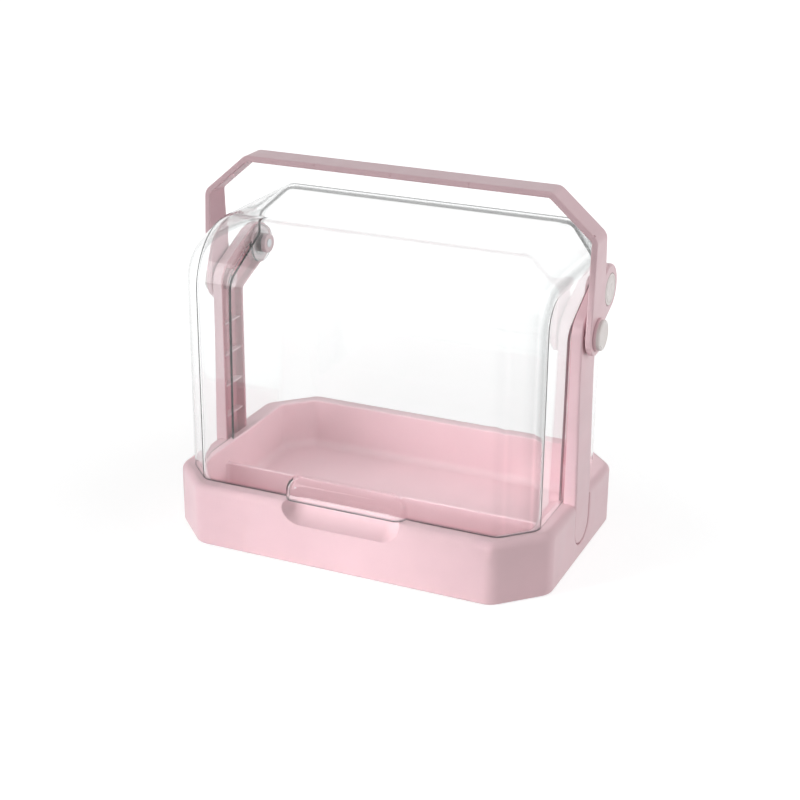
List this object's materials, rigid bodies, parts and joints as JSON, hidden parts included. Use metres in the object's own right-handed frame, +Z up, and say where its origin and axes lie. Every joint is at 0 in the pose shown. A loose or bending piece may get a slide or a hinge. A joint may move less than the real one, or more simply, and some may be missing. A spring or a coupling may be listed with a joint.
{
  "type": "makeup organizer",
  "caption": "Dustproof box: eight-sided tray base, clear lid that swings back over a clear rear cover on two side uprights, and a folding carry handle.",
  "frame": {"origin": "on the ground, under the middle of the base", "axes": "+X to the right seen from the front, -Y towards the front with the finger scoop, +Z up"},
  "size_m": [0.2748, 0.175, 0.24],
  "materials": {
    "pink_moulding": "satin moulded",
    "clear_plastic": "clear polished",
    "pale_plastic": "satin moulded",
    "nylon": "natural",
    "steel": "zinc plated",
    "pad_rubber": "matt"
  },
  "bodies": {
    "base": {"base_tub": "pink_moulding", "bottom_plate": "pink_moulding", "plate_screws": "steel", "foot_screws": "steel", "foot_pad_front_left": "pad_rubber", "foot_pad_front_right": "pad_rubber", "foot_pad_rear_left": "pad_rubber", "foot_pad_rear_right": "pad_rubber", "upright_left": "pink_moulding", "upright_right": "pink_moulding", "rear_cover": "clear_plastic", "lid_pivot_screw_left": "steel", "lid_pivot_screw_right": "steel", "lid_pivot_nut_left": "nylon", "lid_pivot_nut_right": "nylon", "lid_friction_washer_left": "nylon", "lid_friction_washer_right": "nylon", "pivot_cap_left": "pale_plastic", "pivot_cap_right": "pale_plastic", "handle_screw_left": "steel", "handle_screw_right": "steel", "handle_washer_left": "nylon", "handle_washer_right": "nylon", "handle_knob_left": "pale_plastic", "handle_knob_right": "pale_plastic"},
    "lid": {"front_lid": "clear_plastic"},
    "handle": {"handle": "pink_moulding"}
  },
  "joints": [
    {"name": "lid_hinge", "type": "hinge", "parent": "base", "child": "lid", "pos_m": [0, 0.0392, 0.1685], "axis": [-1, 0, 0], "range_deg": [0, 85]},
    {"name": "handle_swing", "type": "hinge", "parent": "base", "child": "handle", "pos_m": [0, 0, 0.152], "axis": [-1, 0, 0], "range_deg": [0, 102]}
  ],
  "couplings": [
    {"joint": "handle_swing", "follows": "lid_hinge", "ratio": 1.2}
  ]
}
